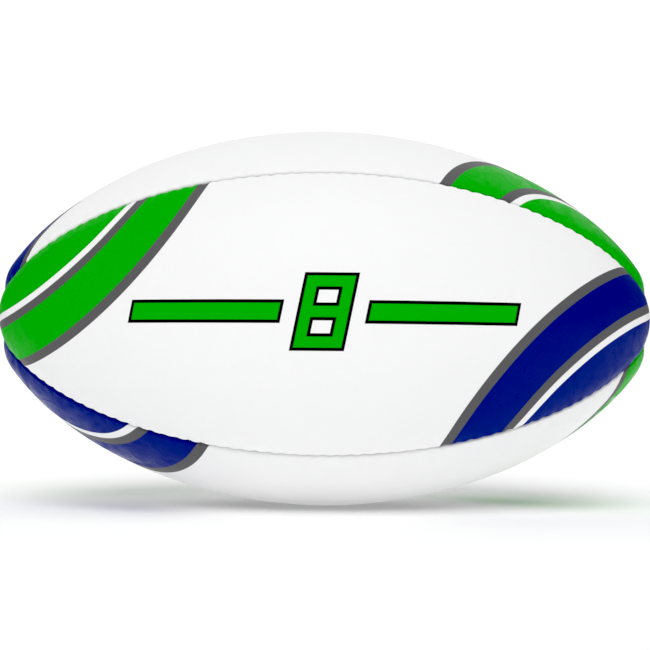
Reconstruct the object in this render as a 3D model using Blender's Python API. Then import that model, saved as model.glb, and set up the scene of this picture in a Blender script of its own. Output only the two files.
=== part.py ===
"""A stitched rugby ball: four cover panels, their linings, seam threads, the bladder and a push-in valve.

Metres, +Z up. The origin is the centre of the ball and +X is its long axis. The front panel faces -Y and the
valve is in the middle of the top panel. Each panel is modelled at the front and turned about the long axis.
"""
import math

import bmesh
import bpy
from mathutils import Vector

# Whole ball
BALL_LENGTH = 0.3010  # between the noses, whose dimples take 1.6 mm off it
BALL_DIAMETER = 0.174
FULLNESS = 1.58  # 2 would make each meridian an ellipse, and less makes it slimmer towards the ends
NOSE_CUT = 0.0060  # how much further a pointed end would reach than the blunt nose
SEAM_DIP = 0.0010  # how far the seams are drawn in at the belly
NOSE_DIP = 0.0035  # and at the nose, where the four tips meet in a dimple
DIP_WIDTH = 0.011  # from a seam to where the panel stands at its full height

# Layers, from the outside inwards
COVER_THICKNESS = 0.0020
LINING_THICKNESS = 0.0010
BLADDER_THICKNESS = 0.0008
FIT_GAP = 0.0003  # between any two pieces that touch

# Turned-in seams
FOLD_RADIUS = 0.0026
FLANGE_DEPTH = 0.0060  # from the outer skin to the cut edge of the turned-in cover
TIP_RADIUS = 0.0012  # how near to the axis the tips of the panels come
FOLD_TAPER = 0.012  # distance from the axis inside which the folds shrink towards the tip
FLANGE_TAPER = 0.030  # distance from the axis inside which the turned-in edge grows shallow
CREASE_WIDTH = 0.008  # from a seam to where the bladder touches the lining
CREASE_SHARE = 0.45  # of a small section's radius, where the crease narrows towards the tip
CREASE_MARGIN = 1.05  # keeps the crease clear of the folds
SEAM_SHARE = 0.66  # the most of a section's radius that folds take up, under the sine of half a panel
THREAD_DIAMETER = 0.0009
THREAD_END = 0.014  # distance from the axis at which each thread is tied off

# Valve, which stands along +Z
VALVE_SET = 0.0004  # how far its face lies below the skin
PLUG_HEAD_RADIUS = 0.0034
PLUG_HEAD_THICKNESS = 0.0012
PLUG_WAIST_RADIUS = 0.0021
PLUG_WAIST_LENGTH = 0.0020
PLUG_BULB_RADIUS = 0.0025
PLUG_BULB_LENGTH = 0.0070
PLUG_POINT_RADIUS = 0.0015
PLUG_POINT_LENGTH = 0.0020
NEEDLE_HOLE_RADIUS = 0.0006
LEAD_IN_RADIUS = 0.0014  # of the funnel round the needle hole
LEAD_IN_DEPTH = 0.0006
NECK_WALL = 0.0009
OUTLET_ROOM = 0.0020  # below the plug
OUTLET_RADIUS = 0.0010
BARREL_FLOOR = 0.0020
BASE_RADIUS = 0.013  # of the flange inside the bladder
BASE_THICKNESS = 0.0012
PATCH_RADIUS = 0.017

# Mesh density
ROWS = 22  # from tip to tip
ROW_CROWDING = 0.2  # how much closer the rows lie at the tips
STATIONS = 4  # from the middle of a panel to the edge of the crease
FOLD_STEPS = 2
ROUND_SIDES = 24
SHARP_ANGLE = math.radians(35)
MERGE_DISTANCE = 0.00001

HALF_LENGTH = BALL_LENGTH / 2
HALF_GAP = FIT_GAP / 2
HALF_PANEL = math.pi / 4
LINING_DEPTH = COVER_THICKNESS + FIT_GAP
BLADDER_DEPTH = LINING_DEPTH + LINING_THICKNESS + FIT_GAP
BASE_DEPTH = BLADDER_DEPTH + BLADDER_THICKNESS + FIT_GAP
NECK_RADIUS = PLUG_HEAD_RADIUS + FIT_GAP + NECK_WALL
VALVE_FACE = BALL_DIAMETER / 2 - VALVE_SET
PLUG_LENGTH = PLUG_HEAD_THICKNESS + PLUG_WAIST_LENGTH + PLUG_BULB_LENGTH + PLUG_POINT_LENGTH
BORE_FLOOR = VALVE_FACE - PLUG_LENGTH - OUTLET_ROOM
BARREL_END = BORE_FLOOR - BARREL_FLOOR
ABOVE_BALL = BALL_DIAMETER  # a height that every cutter clears
PANELS = {"front": 0.0, "top": math.pi / 2, "back": math.pi, "bottom": 1.5 * math.pi}


def meridian(turn):
    """The skin along a panel's middle: place along the axis and distance from it, at a turn from 0 to pi."""
    axial = (HALF_LENGTH + NOSE_CUT) * math.cos(turn)
    blend = max(NOSE_CUT - abs(abs(axial) - HALF_LENGTH), 0) / NOSE_CUT
    blunt = min(abs(axial), HALF_LENGTH) - blend * blend * NOSE_CUT / 4
    return Vector((math.copysign(blunt, axial), BALL_DIAMETER / 2 * math.sin(turn) ** (2 / FULLNESS)))


class Section:
    """One cross-section of the ball, square to its skin, with seam sizes that taper towards the tips.

    Angles about the long axis turn from the front towards the top, and depths go inwards from the skin.
    """

    def __init__(self, turn):
        step = 0.0001
        along = (meridian(turn + step) - meridian(turn - step)).normalized()
        self.skin = meridian(turn)
        self.out = Vector((along.y, -along.x))
        self.radius = self.skin.y
        self.deepest_dip = SEAM_DIP + (NOSE_DIP - SEAM_DIP) * math.cos(turn) ** 6
        taper = min(1, self.radius / FOLD_TAPER)
        self.fold = FOLD_RADIUS * taper
        self.edge = COVER_THICKNESS * taper
        self.lining_edge = HALF_GAP + self.edge + FIT_GAP
        shallow = max(COVER_THICKNESS, self.fold) + FIT_GAP
        grown = min(max((self.radius - FOLD_TAPER) / (FLANGE_TAPER - FOLD_TAPER), 0), 1)
        self.flange = shallow + max(FLANGE_DEPTH - shallow, 0) * grown * grown * (3 - 2 * grown)
        # The stations stop short of the crease, which runs straight to the seam and clears the cut edge.
        deep_radius = self.radius - (BLADDER_DEPTH + self.deepest_dip) * self.out.y
        kept = max(min(CREASE_WIDTH, CREASE_SHARE * self.radius), HALF_GAP + self.fold, self.lining_edge)
        self.half = HALF_PANEL - math.asin(CREASE_MARGIN * min(kept / deep_radius, SEAM_SHARE))
        share = self.lining_edge / (deep_radius * math.sin(HALF_PANEL - self.half))
        lowest = max(self.flange, LINING_DEPTH + LINING_THICKNESS)
        needed = lowest + FIT_GAP + self.dip(self.lining_edge)
        start = BLADDER_DEPTH + self.dip(self.radius * (HALF_PANEL - self.half))
        self.crease = max(BLADDER_DEPTH, (needed - start * share) / (1 - share) - self.deepest_dip)

    def dip(self, width):
        """How far the stitching draws the skin in, at a width from the seam."""
        return self.deepest_dip * max(1 - width / DIP_WIDTH, 0) ** 2

    def place(self, angle, depth):
        spot = self.skin - self.out * depth
        return Vector((spot.x, -spot.y * math.cos(angle), spot.y * math.sin(angle)))

    def beside(self, side, width, depth):
        """The point inside the front panel that is a width away from the plane of its upper or lower seam."""
        depth = depth + self.dip(width)
        radius = self.radius - self.out.y * depth
        return self.place(side * (HALF_PANEL - math.asin(min(width / radius, SEAM_SHARE))), depth)

    def arc(self, middle, depth):
        """The points of a layer across one panel, between the creases."""
        points = []
        for i in range(-STATIONS, STATIONS + 1):
            angle = self.half * i / STATIONS
            drawn_in = self.dip(self.radius * (HALF_PANEL - abs(angle)))
            points.append(self.place(middle + angle, depth + drawn_in))
        return points


TIP_TURN = math.asin((2 * TIP_RADIUS / BALL_DIAMETER) ** (FULLNESS / 2))
SECTIONS = []
for row in range(ROWS + 1):
    share = row / ROWS - ROW_CROWDING * math.sin(2 * math.pi * row / ROWS) / (2 * math.pi)
    SECTIONS.append(Section(TIP_TURN + (math.pi - 2 * TIP_TURN) * share))


def shaded(name, bm):
    """A mesh from a bmesh, with smooth shading between its sharp edges."""
    bmesh.ops.recalc_face_normals(bm, faces=bm.faces)
    mesh = bpy.data.meshes.new(name)
    bm.to_mesh(mesh)
    bm.free()
    mesh.shade_smooth()
    mesh.set_sharp_from_angle(angle=SHARP_ANGLE)
    return mesh


def piece(name, data, material=None, turn=0.0):
    """An object turned about the long axis from the front to its place. One with no material is a cutter."""
    made = bpy.data.objects.new(name, data)
    made.rotation_euler.x = -turn
    bpy.context.scene.collection.objects.link(made)
    if material and not data.materials:
        data.materials.append(material)
    if not material:
        made.hide_render = True
        made.display_type = "WIRE"
    return made


def plain_finish(name, colour, roughness):
    """A plain finish for one kind of piece."""
    made = bpy.data.materials.new(name)
    made.use_nodes = True
    shader = made.node_tree.nodes["Principled BSDF"]
    shader.inputs["Base Color"].default_value = (*colour, 1)
    shader.inputs["Roughness"].default_value = roughness
    return made


def loft(rings):
    """A skin through closed rings of points, ending in flat caps, or in points where end rings are single.

    Each patch is split from its corner that is farthest from the ball's axis, so that layers split alike.
    """
    bm = bmesh.new()
    rows = [[bm.verts.new(point) for point in ring] for ring in rings]
    for low, high in zip(rows, rows[1:]):
        if len(low) == len(high):
            for i in range(len(low)):
                patch = (low[i - 1], low[i], high[i], high[i - 1])
                far = max(range(4), key=lambda k: patch[k].co.yz.length)
                for k in (far - 3, far - 2):
                    bm.faces.new((patch[far], patch[k], patch[k + 1]))
        else:
            tip, ring = (low[0], high) if len(low) == 1 else (high[0], low)
            for i in range(len(ring)):
                bm.faces.new((tip, ring[i], ring[i - 1]))
    if len(rows[0]) > 1:
        bm.faces.new(rows[0])
        bm.faces.new(rows[-1])
    return bm


def lathe(outline):
    """A solid turned about the valve's axis from a closed outline of radius and height pairs."""
    bm = bmesh.new()
    verts = [bm.verts.new((radius, 0, height)) for radius, height in outline]
    edges = [bm.edges.new((verts[i - 1], verts[i])) for i in range(len(verts))]
    bmesh.ops.spin(bm, geom=verts + edges, cent=(0, 0, 0), axis=(0, 0, 1), dvec=(0, 0, 0), angle=2 * math.pi,
                   steps=ROUND_SIDES, use_merge=True, use_duplicate=False)
    bmesh.ops.remove_doubles(bm, verts=bm.verts, dist=MERGE_DISTANCE)
    return bm


def cylinder(radius, low, high):
    """A solid cylinder along the valve's axis."""
    bm = bmesh.new()
    bmesh.ops.create_cone(bm, cap_ends=True, segments=ROUND_SIDES, radius1=radius, radius2=radius,
                          depth=high - low)
    bmesh.ops.translate(bm, verts=bm.verts, vec=(0, 0, (low + high) / 2))
    return bm


def cutter(name, radius, low):
    """A hidden cylinder from a height to above the ball."""
    return piece(name, shaded(name, cylinder(radius, low, ABOVE_BALL)))


def combine(target, operation, other):
    """Adds a live Boolean to an object."""
    step = target.modifiers.new(operation.lower() + " " + other.name, "BOOLEAN")
    step.operation = operation
    step.object = other
    step.solver = "EXACT"


def cover_ring(section):
    """The outline of a cover panel in one section: skin, rolled folds, and turned-in edges."""
    edge = HALF_GAP + section.edge
    flap = [(edge, COVER_THICKNESS), (edge, section.flange), (HALF_GAP, section.flange)]
    for i in range(FOLD_STEPS + 1):
        roll = math.pi / 2 * i / FOLD_STEPS
        flap.append((HALF_GAP + section.fold * (1 - math.cos(roll)), section.fold * (1 - math.sin(roll))))
    ring = [section.beside(-1, width, depth) for width, depth in flap]
    ring += section.arc(0, 0)
    ring += [section.beside(1, width, depth) for width, depth in reversed(flap)]
    return ring + section.arc(0, COVER_THICKNESS)[::-1]


def layer(depth, thickness):
    """A layer inside the front panel, which stops beside the turned-in edges and short of the tips."""
    rings = []
    for section in SECTIONS[1:-1]:
        ring = []
        for side, level in ((-1, depth), (1, depth + thickness)):
            ring.append(section.beside(side, section.lining_edge, level))
            ring += section.arc(0, level)[::-side]
            ring.append(section.beside(-side, section.lining_edge, level))
        rings.append(ring)
    return loft(rings)


def bladder_wall(depth):
    """One face of the bladder, creased over each seam and closed at both noses."""
    pole = HALF_LENGTH - depth - NOSE_DIP
    rings = [[Vector((pole, 0, 0))]]
    for section in SECTIONS[1:-1]:
        ring = []
        for middle in PANELS.values():
            ring += section.arc(middle, depth)
            crease_depth = depth - BLADDER_DEPTH + section.crease + section.deepest_dip
            ring.append(section.place(middle + HALF_PANEL, crease_depth))
        rings.append(ring)
    rings.append([Vector((-pole, 0, 0))])
    return loft(rings)


def seam_thread():
    """The thread of the seam above the front panel, seated between its two folds."""
    curve = bpy.data.curves.new("seam_thread", "CURVE")
    curve.dimensions = "3D"
    curve.bevel_depth = THREAD_DIAMETER / 2
    curve.bevel_resolution = 1
    curve.use_fill_caps = True
    path = []
    for section in SECTIONS:
        if section.radius > THREAD_END:
            reach = section.fold + THREAD_DIAMETER / 2 + FIT_GAP
            seat = section.fold - math.sqrt(reach ** 2 - (section.fold + HALF_GAP) ** 2)
            path.append(section.place(HALF_PANEL, seat + section.deepest_dip))
    spline = curve.splines.new("POLY")
    spline.points.add(len(path) - 1)
    for knot, spot in zip(spline.points, path):
        knot.co = (*spot, 1)
    return curve


for old in list(bpy.data.objects):
    bpy.data.objects.remove(old)

cover_finish = plain_finish("cover", (0.86, 0.86, 0.86), 0.35)
lining_finish = plain_finish("lining", (0.62, 0.58, 0.50), 0.9)
thread_finish = plain_finish("thread", (0.75, 0.75, 0.74), 0.7)
bladder_finish = plain_finish("bladder", (0.50, 0.22, 0.10), 0.5)
rubber_finish = plain_finish("valve_rubber", (0.03, 0.03, 0.03), 0.6)
patch_finish = plain_finish("patch", (0.30, 0.32, 0.36), 0.9)

# Cover panels, their linings and the thread above each
cover_mesh = shaded("cover", loft([cover_ring(section) for section in SECTIONS]))
lining_mesh = shaded("lining", layer(LINING_DEPTH, LINING_THICKNESS))
thread_curve = seam_thread()
covers = {}
linings = {}
for number, (side, turn) in enumerate(PANELS.items(), 1):
    covers[side] = piece("cover_" + side, cover_mesh, cover_finish, turn)
    linings[side] = piece("lining_" + side, lining_mesh, lining_finish, turn)
    piece("seam_thread_%d" % number, thread_curve, thread_finish, turn)

# Bladder, hollow and open at the valve
valve_hole = cutter("valve_hole", NECK_RADIUS + FIT_GAP, BARREL_END)
bladder = piece("bladder", shaded("bladder", bladder_wall(BLADDER_DEPTH)), bladder_finish)
hollow = piece("hollow", shaded("hollow", bladder_wall(BLADDER_DEPTH + BLADDER_THICKNESS)))
combine(bladder, "DIFFERENCE", hollow)
combine(bladder, "DIFFERENCE", valve_hole)

# Valve patch, let into the lining of the top panel
patch = piece("valve_patch", lining_mesh.copy(), patch_finish, PANELS["top"])
patch.data.materials[0] = patch_finish
combine(patch, "INTERSECT", cutter("patch_outline", PATCH_RADIUS, BARREL_END))
combine(patch, "DIFFERENCE", valve_hole)
combine(linings["top"], "DIFFERENCE", cutter("patch_seat", PATCH_RADIUS + FIT_GAP, BARREL_END))
combine(covers["top"], "DIFFERENCE", valve_hole)

# Valve housing: a neck and barrel, with a base that follows the inside of the bladder
base = piece("valve_base", shaded("valve_base", layer(BASE_DEPTH, BASE_THICKNESS)), turn=PANELS["top"])
combine(base, "INTERSECT", cutter("base_outline", BASE_RADIUS, BARREL_END))
barrel = shaded("valve_housing", cylinder(NECK_RADIUS, BARREL_END, VALVE_FACE))
housing = piece("valve_housing", barrel, rubber_finish)
combine(housing, "UNION", base)
head_seat = VALVE_FACE - PLUG_HEAD_THICKNESS - FIT_GAP
combine(housing, "DIFFERENCE", cutter("head_seat", PLUG_HEAD_RADIUS + FIT_GAP, head_seat))
combine(housing, "DIFFERENCE", cutter("bore", PLUG_BULB_RADIUS + FIT_GAP, BORE_FLOOR))
combine(housing, "DIFFERENCE", cutter("outlet", OUTLET_RADIUS, 0))

# Valve plug, which pushes in and pulls out along the bore
head_bottom = VALVE_FACE - PLUG_HEAD_THICKNESS
bulb_top = head_bottom - PLUG_WAIST_LENGTH
bulb_bottom = bulb_top - PLUG_BULB_LENGTH
plug_end = VALVE_FACE - PLUG_LENGTH
plug_outline = [
    (NEEDLE_HOLE_RADIUS, VALVE_FACE - LEAD_IN_DEPTH),
    (LEAD_IN_RADIUS, VALVE_FACE),
    (PLUG_HEAD_RADIUS, VALVE_FACE),
    (PLUG_HEAD_RADIUS, head_bottom),
    (PLUG_WAIST_RADIUS, head_bottom),
    (PLUG_BULB_RADIUS, bulb_top),
    (PLUG_BULB_RADIUS, bulb_bottom),
    (PLUG_POINT_RADIUS, plug_end),
    (NEEDLE_HOLE_RADIUS, plug_end),
]
piece("valve_plug", shaded("valve_plug", lathe(plug_outline)), rubber_finish)
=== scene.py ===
import bisect
import math

import bmesh
import bpy
from mathutils import Matrix, Vector, noise


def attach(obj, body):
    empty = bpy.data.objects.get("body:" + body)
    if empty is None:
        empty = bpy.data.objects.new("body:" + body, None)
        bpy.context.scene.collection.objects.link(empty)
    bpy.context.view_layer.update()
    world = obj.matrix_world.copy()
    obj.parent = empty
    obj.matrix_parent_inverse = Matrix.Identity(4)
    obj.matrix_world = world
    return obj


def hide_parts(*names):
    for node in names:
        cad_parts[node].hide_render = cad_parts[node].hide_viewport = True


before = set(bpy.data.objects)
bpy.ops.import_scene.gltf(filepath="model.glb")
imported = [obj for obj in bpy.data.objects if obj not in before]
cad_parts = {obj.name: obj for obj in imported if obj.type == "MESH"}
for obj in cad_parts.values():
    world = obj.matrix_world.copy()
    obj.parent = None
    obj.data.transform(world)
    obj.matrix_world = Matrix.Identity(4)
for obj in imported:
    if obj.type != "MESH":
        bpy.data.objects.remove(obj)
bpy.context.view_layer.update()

# Camera
# A short telephoto lens near the ball, square to the front panel and just below the height of the long axis.
# It leans by half a degree, so that the left nose stands a little higher than the right one.
CAMERA_ELEVATION = math.radians(-1.92)
CAMERA_DISTANCE = 0.715
CAMERA_LEAN = math.radians(0.48)

camera_data = bpy.data.cameras.new("camera")
camera_data.sensor_width = 36
camera_data.lens = 84.4
camera_data.shift_x = 0.0008
camera_data.shift_y = -0.010
camera_data.clip_start = 0.01
camera = bpy.data.objects.new("camera", camera_data)
bpy.context.scene.collection.objects.link(camera)
backwards = Vector((0, -math.cos(CAMERA_ELEVATION), math.sin(CAMERA_ELEVATION)))
camera.location = CAMERA_DISTANCE * backwards
camera.rotation_euler = (-camera.location).to_track_quat("-Z", "Y").to_euler()
camera.rotation_euler.rotate_axis("Z", CAMERA_LEAN)
bpy.context.scene.camera = camera

# Cover panels
# The outside of the ball is four pointed panels of printed synthetic leather, laminated to their linings.
# They are sewn inside out along their edges, so each edge rolls inwards at the seam and puckers at every
# stitch. The middle of the top panel is dimpled and punched for the valve.
BALL_LENGTH = 0.3010
BELLY_RADIUS = 0.087
FULLNESS = 1.58
NOSE_CUT = 0.0060
TIP_RADIUS = 0.0004
PROFILE_STEPS = 4000
QUARTER = math.pi / 4
PANEL_TURNS = {"front": 0.0, "top": math.pi / 2, "back": math.pi, "bottom": 1.5 * math.pi}


def skin(turn):
    """The place along the axis and the radius of a panel's middle line, from the left nose to the right."""
    axial = -(BALL_LENGTH / 2 + NOSE_CUT) * math.cos(turn)
    blend = max(NOSE_CUT - abs(abs(axial) - BALL_LENGTH / 2), 0) / NOSE_CUT
    blunt = min(abs(axial), BALL_LENGTH / 2) - blend * blend * NOSE_CUT / 4
    return Vector((math.copysign(blunt, axial), BELLY_RADIUS * math.sin(turn) ** (2 / FULLNESS)))


first_turn = math.asin((TIP_RADIUS / BELLY_RADIUS) ** (FULLNESS / 2))
sweep = math.pi - 2 * first_turn
turns = [first_turn + sweep * i / PROFILE_STEPS for i in range(PROFILE_STEPS + 1)]
lengths = [0.0]
for before, after in zip(turns, turns[1:]):
    lengths.append(lengths[-1] + (skin(after) - skin(before)).length)
PANEL_LENGTH = lengths[-1]

STITCHES = 64
STITCH_PITCH = PANEL_LENGTH / STITCHES
STITCH_GAP = 0.00032
HALF_GAP = 0.00015
GAP_SHARPNESS = 3
GAP_SLACK = 0.25
GAP_CYCLES = 110
GAP_ROW = 9.2
SEAM_DIP = 0.0005
NOSE_DIP = 0.0035
NOSE_DIP_SHARPNESS = 6
DIP_WIDTH = 0.011
FOLD_RADIUS = 0.0013
FOLD_TAPER = 0.012
PUCKER_DEPTH = 0.00038
PUCKER_RISE = 0.00012
PUCKER_WIDTH = 0.0028
PUCKER_SHARPNESS = 1.5
PUCKER_VARIATION = 0.6
PUCKER_CYCLES = 90
PUCKER_ROW = 3.7
SWELL_HEIGHT = 0.00022
SWELL_CYCLES = (34, 3)
SWELL_LAYER = 1.3
RIPPLE_HEIGHT = 0.00016
RIPPLE_CYCLES = (260, 5)
RIPPLE_LAYER = 8.1
RIPPLE_REACH = 0.010
SMALL_TURN = 0.0001
LEAST_RADIUS = 0.0001
WIDEST_SINE = 0.69


class Hoop:
    """One cross-section of the skin at a length along the panel, with seam sizes that taper to the tips."""

    def __init__(self, length):
        self.length = length
        at = min(max(bisect.bisect(lengths, length), 1), len(lengths) - 1)
        share = (length - lengths[at - 1]) / (lengths[at] - lengths[at - 1])
        turn = turns[at - 1] + share * (turns[at] - turns[at - 1])
        along = (skin(turn + SMALL_TURN) - skin(turn - SMALL_TURN)).normalized()
        self.spot = skin(turn)
        self.out = Vector((-along.y, along.x))
        self.radius = self.spot.y
        self.seam_dip = SEAM_DIP + (NOSE_DIP - SEAM_DIP) * math.cos(turn) ** NOSE_DIP_SHARPNESS
        self.taper = min(1, self.radius / FOLD_TAPER)
        self.fold = FOLD_RADIUS * self.taper
        pull = 0.5 + 0.5 * math.cos(2 * math.pi * length / STITCH_PITCH)
        uneven = 1 + PUCKER_VARIATION * noise.noise(Vector((length * PUCKER_CYCLES, PUCKER_ROW, 0)))
        self.pucker = self.taper * (PUCKER_DEPTH * uneven * pull ** PUCKER_SHARPNESS - PUCKER_RISE)
        slack = max(GAP_SLACK + noise.noise(Vector((length * GAP_CYCLES, GAP_ROW, 0))), 0)
        self.half_gap = HALF_GAP + self.taper * STITCH_GAP * slack * pull ** GAP_SHARPNESS

    def drawn_in(self, width):
        """How far the seam and its stitches pull the skin in, at a width from the seam."""
        dip = self.seam_dip * max(1 - width / DIP_WIDTH, 0) ** 2
        return dip + self.pucker * math.exp(-(width / PUCKER_WIDTH) ** 2)

    def place(self, angle, depth):
        """The point at an angle round the long axis and a depth below the skin."""
        at = self.spot - self.out * depth
        return Vector((at.x, -at.y * math.cos(angle), at.y * math.sin(angle)))

    def beside(self, side, width, depth):
        """The point a width from the plane of the upper or lower seam, with its distance across the panel."""
        deep = depth + self.drawn_in(width)
        sine = min(width / max(self.radius - self.out.y * deep, LEAST_RADIUS), WIDEST_SINE)
        spot = self.place(side * (QUARTER - math.asin(sine)), deep)
        return spot, side * (self.radius * QUARTER - width + depth)

    def across(self, share, depth):
        """The point at a share of the way from the panel's middle to the start of its fold."""
        start = min((self.half_gap + self.fold) / self.radius, WIDEST_SINE)
        angle = share * (QUARTER - math.asin(start))
        width = self.radius * (QUARTER - abs(angle))
        swell_at = Vector((self.length * SWELL_CYCLES[0], angle * SWELL_CYCLES[1], SWELL_LAYER))
        ripple_at = Vector((self.length * RIPPLE_CYCLES[0], angle * RIPPLE_CYCLES[1], RIPPLE_LAYER))
        swell = SWELL_HEIGHT * noise.noise(swell_at)
        ripple = RIPPLE_HEIGHT * noise.noise(ripple_at) * math.exp(-width / RIPPLE_REACH)
        deep = depth + self.drawn_in(width) + (swell + ripple) * self.taper
        return self.place(angle, deep), self.radius * angle


COVER_THICKNESS = 0.0020
TURNED_IN = 0.0040
EDGE_CROWDING = 0.4
SKIN_STEPS = 34
FOLD_STEPS = 5
FLAP_STEPS = FOLD_STEPS + 3
INNER_STEPS = 8


def cover_station(hoop, number):
    """The point of a cover's cross-section with this number, and its distance across the panel."""
    if number <= 2 * SKIN_STEPS:
        share = (number - SKIN_STEPS) / SKIN_STEPS
        return hoop.across((1 + EDGE_CROWDING) * share - EDGE_CROWDING * share ** 3, 0)
    edge = hoop.half_gap + COVER_THICKNESS * hoop.taper
    depth = max(hoop.fold, COVER_THICKNESS) + (TURNED_IN - FOLD_RADIUS) * hoop.taper
    flap = []
    for i in range(1, FOLD_STEPS + 1):
        roll = math.pi / 2 * (1 - i / FOLD_STEPS)
        flap.append((hoop.half_gap + hoop.fold * (1 - math.cos(roll)), hoop.fold * (1 - math.sin(roll))))
    flap += [(hoop.half_gap, depth), (edge, depth), (edge, COVER_THICKNESS)]
    number -= 2 * SKIN_STEPS + 1
    if number < FLAP_STEPS:
        return hoop.beside(1, *flap[number])
    number -= FLAP_STEPS
    if number < 2 * INNER_STEPS - 1:
        return hoop.across((INNER_STEPS - 1 - number) / INNER_STEPS, COVER_THICKNESS)
    number -= 2 * INNER_STEPS - 1
    return hoop.beside(-1, *flap[FLAP_STEPS - 1 - number])


STATIONS = 2 * SKIN_STEPS + 1 + 2 * FLAP_STEPS + 2 * INNER_STEPS - 1
ROWS_PER_STITCH = 8
ROWS = STITCHES * ROWS_PER_STITCH
SAME_POINT = 0.0000001
hoops = [Hoop(PANEL_LENGTH * i / ROWS) for i in range(ROWS + 1)]


def cover_panel(turn, half_turned):
    """A cover panel as a closed shell, with a map of its print in metres along and across the panel."""
    bm = bmesh.new()
    bmesh.ops.create_grid(bm, x_segments=STATIONS, y_segments=ROWS, size=1)
    to_place = Matrix.Rotation(-turn, 3, "X")
    spread = {}
    for vert in bm.verts:
        station = round((vert.co.x + 1) / 2 * STATIONS) % STATIONS
        hoop = hoops[round((vert.co.y + 1) / 2 * ROWS)]
        spot, across = cover_station(hoop, station)
        vert.co = to_place @ spot
        spread[vert] = (hoop.length - PANEL_LENGTH / 2, across)
    printed = bm.loops.layers.uv.new("print")
    facing = -1 if half_turned else 1
    for face in bm.faces:
        face.smooth = True
        for loop in face.loops:
            loop[printed].uv = facing * Vector(spread[loop.vert])
    bmesh.ops.remove_doubles(bm, verts=bm.verts, dist=SAME_POINT)
    bmesh.ops.holes_fill(bm, edges=[edge for edge in bm.edges if edge.is_boundary], sides=0)
    bmesh.ops.recalc_face_normals(bm, faces=bm.faces)
    return bm


def piece(name, bm):
    """An object in the scene from a bmesh."""
    mesh = bpy.data.meshes.new(name)
    bm.to_mesh(mesh)
    bm.free()
    made = bpy.data.objects.new(name, mesh)
    bpy.context.scene.collection.objects.link(made)
    return made


class Wire:
    """A socket of a material. Arithmetic on wires adds Math nodes, and add() makes any other node."""

    def __init__(self, tree, socket=None):
        self.tree = tree
        self.socket = socket

    def add(self, kind, settings, inputs, output=0):
        """A new node of this kind, with its settings and the values or wires of its inputs."""
        node = self.tree.nodes.new("ShaderNode" + kind)
        for name, value in settings.items():
            setattr(node, name, value)
        for name, value in inputs.items():
            if isinstance(value, Wire):
                self.tree.links.new(value.socket, node.inputs[name])
            else:
                node.inputs[name].default_value = value
        return Wire(self.tree, node.outputs[output])

    def maths(self, operation, *values):
        return self.add("Math", {"operation": operation}, dict(enumerate(values)))

    def __add__(self, other):
        return self.maths("ADD", self, other)

    def __sub__(self, other):
        return self.maths("SUBTRACT", self, other)

    def __rsub__(self, other):
        return self.maths("SUBTRACT", other, self)

    def __mul__(self, other):
        return self.maths("MULTIPLY", self, other)

    def __pow__(self, other):
        return self.maths("POWER", self, other)

    __radd__ = __add__
    __rmul__ = __mul__

    def past(self, edge, softness):
        """0 below an edge and 1 above it, with a narrow blend."""
        inputs = {0: self, 1: 1 / softness, 2: 0.5 - edge / softness}
        return self.add("Math", {"operation": "MULTIPLY_ADD", "use_clamp": True}, inputs)

    def outside(self, other, x, y, wide, high):
        """How far the place that two wires give lies outside a box with this middle and size."""
        sideways = self.maths("ABSOLUTE", self - x) - wide / 2
        upright = other.maths("ABSOLUTE", other - y) - high / 2
        return sideways.maths("MAXIMUM", sideways, upright)

    def blend(self, first, second):
        """From the first colour to the second as this wire goes from 0 to 1."""
        return self.add("Mix", {"data_type": "RGBA"}, {0: self, 6: first, 7: second}, 2)

    def noise(self, scale, detail, **others):
        """A noise pattern on the place that this wire gives."""
        return self.add("TexNoise", {}, {"Vector": self, "Scale": scale, "Detail": detail, **others})

    def bands(self, direction, scale, distortion):
        """Soft parallel bands on the place that this wire gives."""
        inputs = {"Vector": self, "Scale": scale, "Distortion": distortion}
        return self.add("TexWave", {"bands_direction": direction}, inputs)

    def bump(self, strength, distance):
        """The normal of a surface that has this wire for its height."""
        return self.add("Bump", {}, {"Strength": strength, "Distance": distance, "Height": self})


def new_finish(name):
    """A material with its shader and a wire to build its pattern from."""
    made = bpy.data.materials.new(name)
    made.use_nodes = True
    return made, made.node_tree.nodes["Principled BSDF"], Wire(made.node_tree)


def plug_in(shader, **wires):
    """Links wires to the sockets of a shader, with spaces for the underscores in their names."""
    for name, wire in wires.items():
        wire.tree.links.new(wire.socket, shader.inputs[name.replace("_", " ")])


SKIN_WHITE = (0.762, 0.762, 0.764, 1)
INK_GREEN = (0.002, 0.355, 0.003, 1)
INK_BLUE = (0.002, 0.013, 0.185, 1)
INK_GREY = (0.100, 0.098, 0.102, 1)
INK_BLACK = (0.003, 0.003, 0.003, 1)
PRINT_EDGE = 0.00025
COLOUR_CHANGE = 0.001
RING_CENTRE = (-0.190, 0.118)
RING_RADIUS = 0.150
RING_INSETS = (0.058, 0.0555, 0.052, 0.030, 0.027, 0.023, 0.0045, 0)
DIGIT_HEIGHT = 0.030
DIGIT_WIDTH = 0.020
DIGIT_STROKE = 0.0046
DIGIT_SLANT = 0.20
BAR_MIDDLE = 0.051
BAR_LENGTH = 0.064
BAR_HEIGHT = 0.0070
OUTLINE = 0.0014
SKIN_MOTTLE = 0.03
GRAIN_HEIGHT = 0.00003
CRINKLE_HEIGHT = 0.00006
CLOUD_HEIGHT = 0.00020
SKIN_ROUGHNESS = 0.40
INK_ROUGHNESS_SPREAD = 0.38
INK_GLOSS = 0.18


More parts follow.
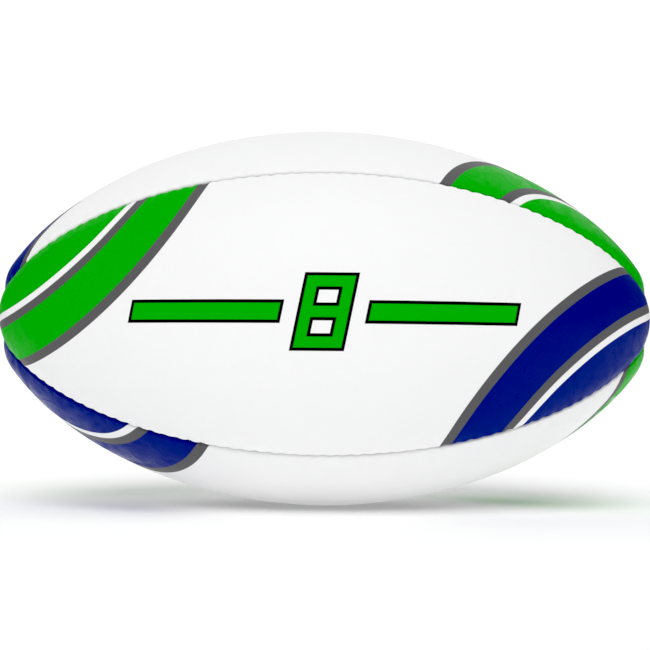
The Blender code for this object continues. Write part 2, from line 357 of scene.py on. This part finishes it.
def printed_cover(name, numbered):
    """The printed skin: rings of ink at both ends, and on two panels a plain number between two bars."""
    made, shader, wire = new_finish(name)
    spread = wire.add("UVMap", {"uv_map": "print"}, {})
    along = wire.add("SeparateXYZ", {}, {0: spread}, 0)
    across = wire.add("SeparateXYZ", {}, {0: spread}, 1)
    right_end = along.past(0, COLOUR_CHANGE)
    facing = 1 - 2 * right_end
    ring_along = along * facing - RING_CENTRE[0]
    ring_across = across * facing - RING_CENTRE[1]
    from_ring = (ring_along ** 2 + ring_across ** 2) ** 0.5
    ink = right_end.blend(INK_GREEN, INK_BLUE)
    rings = (SKIN_WHITE, INK_GREY, ink, SKIN_WHITE, INK_GREY, ink, INK_GREY, SKIN_WHITE)
    colour = ink
    inked = 1
    for inset, next_colour in zip(RING_INSETS, rings):
        edge = from_ring.past(RING_RADIUS - inset, PRINT_EDGE)
        colour = edge.blend(colour, next_colour)
        inked = edge * ((next_colour is ink) - inked) + inked
    if numbered:
        slanted = along - across * DIGIT_SLANT
        either_side = slanted.maths("ABSOLUTE", slanted)
        strokes = either_side.outside(across, BAR_MIDDLE, 0, BAR_LENGTH, BAR_HEIGHT)
        side = (DIGIT_WIDTH - DIGIT_STROKE) / 2
        top = (DIGIT_HEIGHT - DIGIT_STROKE) / 2
        uprights = [(x, 0, DIGIT_STROKE, DIGIT_HEIGHT) for x in (-side, side)]
        rungs = [(0, y, DIGIT_WIDTH, DIGIT_STROKE) for y in (-top, 0, top)]
        for box in uprights + rungs:
            strokes = strokes.maths("MINIMUM", strokes, slanted.outside(across, *box))
        colour = strokes.past(OUTLINE, PRINT_EDGE).blend(INK_BLACK, colour)
        colour = strokes.past(0, PRINT_EDGE).blend(INK_GREEN, colour)
    place = wire.add("TexCoord", {}, {}, "Object")
    clouds = place.noise(95, 5, Roughness=0.65, Distortion=1.5)
    pores = {"Vector": place, "Scale": 1100, "Smoothness": 0.6}
    grain = wire.add("TexVoronoi", {"feature": "SMOOTH_F1"}, pores)
    creases = {"Vector": place, "Scale": 140, "Detail": 3}
    crinkle = wire.add("TexNoise", {"noise_type": "RIDGED_MULTIFRACTAL"}, creases)
    shade = 1 + SKIN_MOTTLE / 2 - clouds * SKIN_MOTTLE
    colour = wire.add("VectorMath", {"operation": "SCALE"}, {0: colour, "Scale": shade})
    height = grain * GRAIN_HEIGHT + (crinkle * CRINKLE_HEIGHT + clouds * CLOUD_HEIGHT) * inked
    ink_roughness = clouds.past(0.5, 0.35) * INK_ROUGHNESS_SPREAD - INK_GLOSS
    roughness = SKIN_ROUGHNESS + ink_roughness * inked
    plug_in(shader, Base_Color=colour, Roughness=roughness, Normal=height.bump(1.0, 1.0))
    shader.inputs["Specular IOR Level"].default_value = 0.09
    return made


VALVE_DIMPLE = 0.0006
VALVE_DIMPLE_RADIUS = 0.012
VALVE_HOLE_RADIUS = 0.0049
PUNCH_LENGTH = 0.02
number_finish = printed_cover("numbered_cover", True)
plain_finish = printed_cover("plain_cover", False)

panels = {}
for side, turn in PANEL_TURNS.items():
    bm = cover_panel(turn, side in ("top", "bottom"))
    if side == "top":
        for vert in bm.verts:
            vert.co.z -= VALVE_DIMPLE * max(1 - vert.co.xy.length / VALVE_DIMPLE_RADIUS, 0) ** 2
    panel = piece("panel_" + side, bm)
    panel.data.materials.append(number_finish if side in ("front", "back") else plain_finish)
    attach(panel, "ball")
    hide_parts("cover_" + side)
    panels[side] = panel

bm = bmesh.new()
bmesh.ops.create_cone(bm, cap_ends=True, segments=64, radius1=VALVE_HOLE_RADIUS,
                      radius2=VALVE_HOLE_RADIUS, depth=PUNCH_LENGTH)
bmesh.ops.translate(bm, verts=bm.verts, vec=(0, 0, BELLY_RADIUS))
punch = piece("valve_hole_punch", bm)
hole = panels["top"].modifiers.new("valve_hole", "BOOLEAN")
hole.object = punch
hole.solver = "EXACT"
punched = panels["top"].evaluated_get(bpy.context.evaluated_depsgraph_get())
panels["top"].data = bpy.data.meshes.new_from_object(punched)
panels["top"].modifiers.clear()
bpy.data.objects.remove(punch)

# Seam threads
# Waxed polyester thread, doubled and pulled tight through the turned-in edges of two neighbouring panels.
# A cord runs along the seam below, and short rungs cross it between the rolled edges, one at every pucker.
RUNG_RADIUS = 0.00042
RUNG_HALF_LENGTH = 0.0010
RUNG_DEPTH = 0.0013
RUNG_SLANT = 0.25
CORD_RADIUS = 0.00040
CORD_DEPTH = 0.0021
CORD_STEP = 4
THREAD_END = 0.014
THREAD_DARK = (0.42, 0.41, 0.39, 1)
THREAD_PALE = (0.80, 0.79, 0.76, 1)

thread_finish, shader, wire = new_finish("waxed_thread")
place = wire.add("TexCoord", {}, {}, "Object")
twist = place.bands("DIAGONAL", 700, 1.5)
wax = place.noise(420, 3)
colour = (twist * 0.5 + wax * 0.5).blend(THREAD_DARK, THREAD_PALE)
plug_in(shader, Base_Color=colour, Roughness=0.45 + wax * 0.3, Normal=twist.bump(0.6, 0.0002))

sewn = [hoop for hoop in hoops if hoop.radius > THREAD_END]
stitched = [hoop for hoop in hoops[::ROWS_PER_STITCH] if hoop.radius > THREAD_END]
for number, turn in enumerate(PANEL_TURNS.values(), 1):
    seam = turn + QUARTER
    outward = Vector((0, -math.cos(seam), math.sin(seam)))
    over = Vector((0, math.sin(seam), math.cos(seam)))
    path = bpy.data.curves.new("seam", "CURVE")
    path.dimensions = "3D"
    path.bevel_depth = CORD_RADIUS
    path.bevel_resolution = 2
    path.use_fill_caps = True
    line = path.splines.new("POLY")
    line.points.add(len(sewn) // CORD_STEP)
    for knot, hoop in zip(line.points, sewn[::CORD_STEP]):
        knot.co = (*hoop.place(seam, CORD_DEPTH + hoop.drawn_in(0)), 1)
    cord = bpy.data.objects.new("seam", path)
    bm = bmesh.new()
    bm.from_mesh(cord.to_mesh())
    cord.to_mesh_clear()
    bpy.data.objects.remove(cord)
    for hoop in stitched:
        normal = (outward * hoop.out.y + Vector((hoop.out.x, 0, 0))).normalized()
        slant = (over + RUNG_SLANT * over.cross(normal)).normalized()
        sizes = (slant * RUNG_HALF_LENGTH, slant.cross(normal) * RUNG_RADIUS, normal * RUNG_RADIUS)
        shape = Matrix(sizes).transposed().to_4x4()
        where = Matrix.Translation(hoop.place(seam, RUNG_DEPTH + hoop.drawn_in(0)))
        bmesh.ops.create_uvsphere(bm, u_segments=8, v_segments=6, radius=1, matrix=where @ shape)
    for face in bm.faces:
        face.smooth = True
    thread = piece("stitches_%d" % number, bm)
    thread.data.materials.append(thread_finish)
    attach(thread, "ball")
    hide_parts("seam_thread_%d" % number)

# Panel linings
# Plies of woven polyester and cotton cloth, which keep the ball from stretching out of shape.
# A lining is laminated to the back of each cover panel before the panels are sewn.
LINING_DARK = (0.40, 0.37, 0.31, 1)
LINING_PALE = (0.72, 0.68, 0.60, 1)


def refinish(node, finish):
    """Gives a solid of the frame this finish alone."""
    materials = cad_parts[node].data.materials
    materials.clear()
    materials.append(finish)


lining_finish, shader, wire = new_finish("lining_cloth")
place = wire.add("TexCoord", {}, {}, "Object")
weave = place.bands("X", 420, 0.6) * 0.5 + place.bands("DIAGONAL", 420, 0.6) * 0.5
slub = place.noise(90, 4)
colour = (weave * 0.7 + slub * 0.3).blend(LINING_DARK, LINING_PALE)
plug_in(shader, Base_Color=colour, Roughness=0.80 + slub * 0.15, Normal=weave.bump(0.7, 0.0003))
for side in PANEL_TURNS:
    refinish("lining_" + side, lining_finish)

# Bladder
# A bag of dipped natural rubber that holds the air and is blown up inside the sewn cover.
# It is dusted with talc, so that it can slide inside the linings.
BLADDER_RUBBER = (0.36, 0.15, 0.06, 1)
BLADDER_TALC = (0.66, 0.56, 0.47, 1)

bladder_finish, shader, wire = new_finish("bladder_rubber")
place = wire.add("TexCoord", {}, {}, "Object")
dusted = place.noise(45, 6, Roughness=0.65).past(0.56, 0.22)
colour = (dusted * 0.55).blend(BLADDER_RUBBER, BLADDER_TALC)
ripple = place.noise(220, 2)
plug_in(shader, Base_Color=colour, Roughness=0.38 + dusted * 0.40, Normal=ripple.bump(0.5, 0.0003))
refinish("bladder", bladder_finish)

# Valve patch
# A ring of heavier woven cloth that keeps the valve's neck from tearing out.
# It is let into the lining of the top panel, round the valve, and bonded there.
PATCH_DARK = (0.10, 0.11, 0.13, 1)
PATCH_PALE = (0.42, 0.44, 0.48, 1)

patch_finish, shader, wire = new_finish("patch_cloth")
place = wire.add("TexCoord", {}, {}, "Object")
weave = place.bands("X", 260, 0.5) * 0.5 + place.bands("Y", 260, 0.5) * 0.5
glue = place.noise(130, 3)
colour = (weave * 0.6 + glue * 0.4).blend(PATCH_DARK, PATCH_PALE)
plug_in(shader, Base_Color=colour, Roughness=0.75 + glue * 0.2, Normal=weave.bump(0.8, 0.0004))
refinish("valve_patch", patch_finish)

# Valve housing
# One rubber moulding, bonded to the bladder: a neck that fills the hole in the cover, a flange and a barrel.
# The neck's face lies just below the skin, and the plug's head sinks into a seat in it. The flange is bent
# to the curve of the ball.
VALVE_FACE = 0.0866
NECK_RADIUS = 0.0046
HEAD_SEAT_RADIUS = 0.0037
SEAT_BOTTOM = VALVE_FACE - 0.0015
BORE_RADIUS = 0.0028
BORE_FLOOR = 0.0724
BARREL_END = 0.0704
OUTLET_RADIUS = 0.0010
FLANGE_TOP = 0.0823
FLANGE_BOTTOM = 0.0811
FLANGE_RINGS = (0.0075, 0.0103, 0.013)
FLANGE_BENDS_FROM = 0.0055
FLANGE_BEND_ALONG = 2.25
FLANGE_BEND_ACROSS = 6.08
HOUSING_SOFT_EDGE = 0.00018
SHARP_EDGE = math.radians(25)
SAME_CORNER = 0.000001
RUBBER_BLACK = (0.018, 0.018, 0.019, 1)
RUBBER_BLOOM = (0.055, 0.055, 0.058, 1)


def turned(outline, soft_edge):
    """A moulding turned about the valve's axis from an outline of radius and height, with softened edges."""
    bm = bmesh.new()
    corners = [bm.verts.new((radius, 0, height)) for radius, height in outline]
    sides = [bm.edges.new(pair) for pair in zip(corners, corners[1:] + corners[:1])]
    bmesh.ops.spin(bm, geom=corners + sides, cent=(0, 0, 0), axis=(0, 0, 1), dvec=(0, 0, 0),
                   angle=2 * math.pi, steps=64, use_merge=True, use_duplicate=False)
    bmesh.ops.remove_doubles(bm, verts=bm.verts, dist=SAME_CORNER)
    bmesh.ops.recalc_face_normals(bm, faces=bm.faces)
    sharp = [edge for edge in bm.edges if edge.calc_face_angle(0) > SHARP_EDGE]
    bmesh.ops.bevel(bm, geom=sharp, offset=soft_edge, offset_type="OFFSET", affect="EDGES", segments=3,
                    profile=0.5, material=-1, clamp_overlap=True)
    for face in bm.faces:
        face.smooth = True
    return bm


rubber_finish, shader, wire = new_finish("valve_rubber")
place = wire.add("TexCoord", {}, {}, "Object")
bloom = place.noise(300, 5, Roughness=0.6)
grit = place.noise(2600, 2)
colour = bloom.past(0.55, 0.35).blend(RUBBER_BLACK, RUBBER_BLOOM)
plug_in(shader, Base_Color=colour, Roughness=0.46 + bloom * 0.22, Normal=grit.bump(0.5, 0.00005))

outline = [(HEAD_SEAT_RADIUS, VALVE_FACE), (NECK_RADIUS, VALVE_FACE), (NECK_RADIUS, FLANGE_TOP)]
outline += [(radius, FLANGE_TOP) for radius in FLANGE_RINGS]
outline += [(radius, FLANGE_BOTTOM) for radius in reversed(FLANGE_RINGS)]
outline += [(NECK_RADIUS, FLANGE_BOTTOM), (NECK_RADIUS, BARREL_END), (OUTLET_RADIUS, BARREL_END),
            (OUTLET_RADIUS, BORE_FLOOR), (BORE_RADIUS, BORE_FLOOR), (BORE_RADIUS, SEAT_BOTTOM),
            (HEAD_SEAT_RADIUS, SEAT_BOTTOM)]
bm = turned(outline, HOUSING_SOFT_EDGE)
for vert in bm.verts:
    if vert.co.xy.length > FLANGE_BENDS_FROM:
        vert.co.z -= FLANGE_BEND_ALONG * vert.co.x ** 2 + FLANGE_BEND_ACROSS * vert.co.y ** 2
housing = piece("valve_neck", bm)
housing.data.materials.append(rubber_finish)
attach(housing, "ball")
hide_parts("valve_housing")

# Valve plug
# A soft rubber insert that pushes into the neck and seals it. A funnel in its head leads the pump's needle
# into a fine hole down its middle, and ribs round its bulb grip the bore.
HEAD_RADIUS = 0.0034
HEAD_BOTTOM = 0.0854
WAIST_RADIUS = 0.0021
WAIST_BOTTOM = 0.0840
BULB_RADIUS = 0.0025
BULB_TOP = 0.0834
BULB_BOTTOM = 0.0764
POINT_RADIUS = 0.0015
PLUG_END = 0.0744
NEEDLE_RADIUS = 0.0006
FUNNEL_RADIUS = 0.0014
FUNNEL_BOTTOM = VALVE_FACE - 0.0006
RIBS = 4
RIB_HEIGHT = 0.00015
RIB_HALF_WIDTH = 0.0005
PLUG_SOFT_EDGE = 0.00015

outline = [(NEEDLE_RADIUS, FUNNEL_BOTTOM), (FUNNEL_RADIUS, VALVE_FACE), (HEAD_RADIUS, VALVE_FACE),
           (HEAD_RADIUS, HEAD_BOTTOM), (WAIST_RADIUS, HEAD_BOTTOM), (WAIST_RADIUS, WAIST_BOTTOM)]
for i in range(RIBS):
    rib = BULB_TOP - (BULB_TOP - BULB_BOTTOM) * (i + 0.5) / RIBS
    outline += [(BULB_RADIUS, rib + RIB_HALF_WIDTH), (BULB_RADIUS + RIB_HEIGHT, rib),
                (BULB_RADIUS, rib - RIB_HALF_WIDTH)]
outline += [(BULB_RADIUS, BULB_BOTTOM), (POINT_RADIUS, PLUG_END), (NEEDLE_RADIUS, PLUG_END)]
plug = piece("plug_insert", turned(outline, PLUG_SOFT_EDGE))
plug.data.materials.append(rubber_finish)
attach(plug, "plug")
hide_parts("valve_plug")

# Studio
# A plain white floor under an even white surround, with a broad soft light high in front and another behind.
# The floor glows a little for the light on the ball, which lifts its underside, and not for the camera.
# The surround is brighter for the camera than for the light on the ball.
FLOOR_WHITE = (0.92, 0.92, 0.92, 1)
FLOOR_RADIUS = 6
FLOOR_CLEARANCE = 0.0002
BOUNCE_GLOW = (0.32, 0.32, 0.32, 1)
SEEN_GLOW = (0, 0, 0, 1)
FRONT_LIGHT = {"strength": 2.14, "width": math.radians(50), "direction": (0.03, 0.643, -0.766)}
REAR_LIGHT = {"strength": 1.12, "width": math.radians(90), "direction": (0, -0.5, -0.866)}
SURROUND_LIGHT = 0.29
SURROUND_SEEN = 1.04
BLACK_LEVEL = 0.023

bm = bmesh.new()
bmesh.ops.create_circle(bm, cap_ends=True, segments=64, radius=FLOOR_RADIUS)
bmesh.ops.translate(bm, verts=bm.verts, vec=(0, 0, -BELLY_RADIUS - FLOOR_CLEARANCE))
floor = piece("floor", bm)
floor_finish, shader, wire = new_finish("floor_paper")
shader.inputs["Base Color"].default_value = FLOOR_WHITE
shader.inputs["Roughness"].default_value = 0.9
shader.inputs["Specular IOR Level"].default_value = 0.0
shader.inputs["Emission Strength"].default_value = 1.0
seen = wire.add("LightPath", {}, {}, "Is Camera Ray")
plug_in(shader, Emission_Color=seen.blend(BOUNCE_GLOW, SEEN_GLOW))
floor.data.materials.append(floor_finish)

for name, soft in (("front_light", FRONT_LIGHT), ("rear_light", REAR_LIGHT)):
    sun = bpy.data.lights.new(name, "SUN")
    sun.energy = soft["strength"]
    sun.angle = soft["width"]
    light = bpy.data.objects.new(name, sun)
    light.rotation_euler = Vector(soft["direction"]).to_track_quat("-Z", "Y").to_euler()
    bpy.context.scene.collection.objects.link(light)

world = bpy.data.worlds.new("studio")
world.use_nodes = True
bpy.context.scene.world = world
surround = world.node_tree.nodes["Background"]
surround.inputs["Color"].default_value = (1, 1, 1, 1)
seen = Wire(world.node_tree).add("LightPath", {}, {}, "Is Camera Ray")
brightness = seen * (SURROUND_SEEN - SURROUND_LIGHT) + SURROUND_LIGHT
world.node_tree.links.new(brightness.socket, surround.inputs["Strength"])
look = bpy.context.scene.view_settings
look.view_transform = "Standard"
look.use_curve_mapping = True
look.curve_mapping.black_level = (BLACK_LEVEL, BLACK_LEVEL, BLACK_LEVEL)
look.curve_mapping.update()
